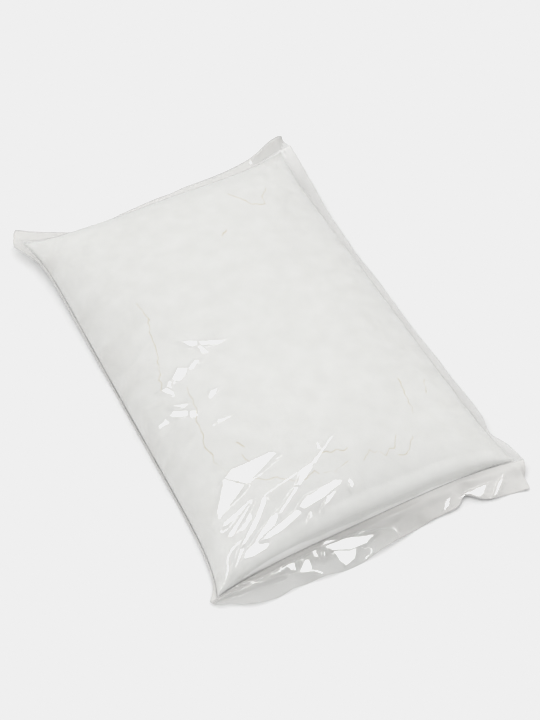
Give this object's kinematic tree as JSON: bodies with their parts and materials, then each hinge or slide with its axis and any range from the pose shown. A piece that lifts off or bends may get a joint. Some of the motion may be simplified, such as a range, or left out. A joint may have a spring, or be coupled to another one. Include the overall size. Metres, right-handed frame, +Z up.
{
  "type": "bag of sugar",
  "caption": "Sealed clear film pouch filled with fine white powdered sugar, lying flat, with a wide crinkled end flap.",
  "frame": {"origin": "middle of the pouch's footprint on the surface it lies on", "axes": "+X across the pouch to its standing side fin, +Y along its length away from the wide end flap, +Z up"},
  "size_m": [0.2092, 0.3314, 0.0394],
  "materials": {
    "sugar": "fine white powder, pressed flat, with hairline cracks",
    "clear_film": "clear glossy packaging film, creased at the corners and the end flap"
  },
  "bodies": {
    "root": {"sugar_bag": "sugar"}
  },
  "joints": []
}
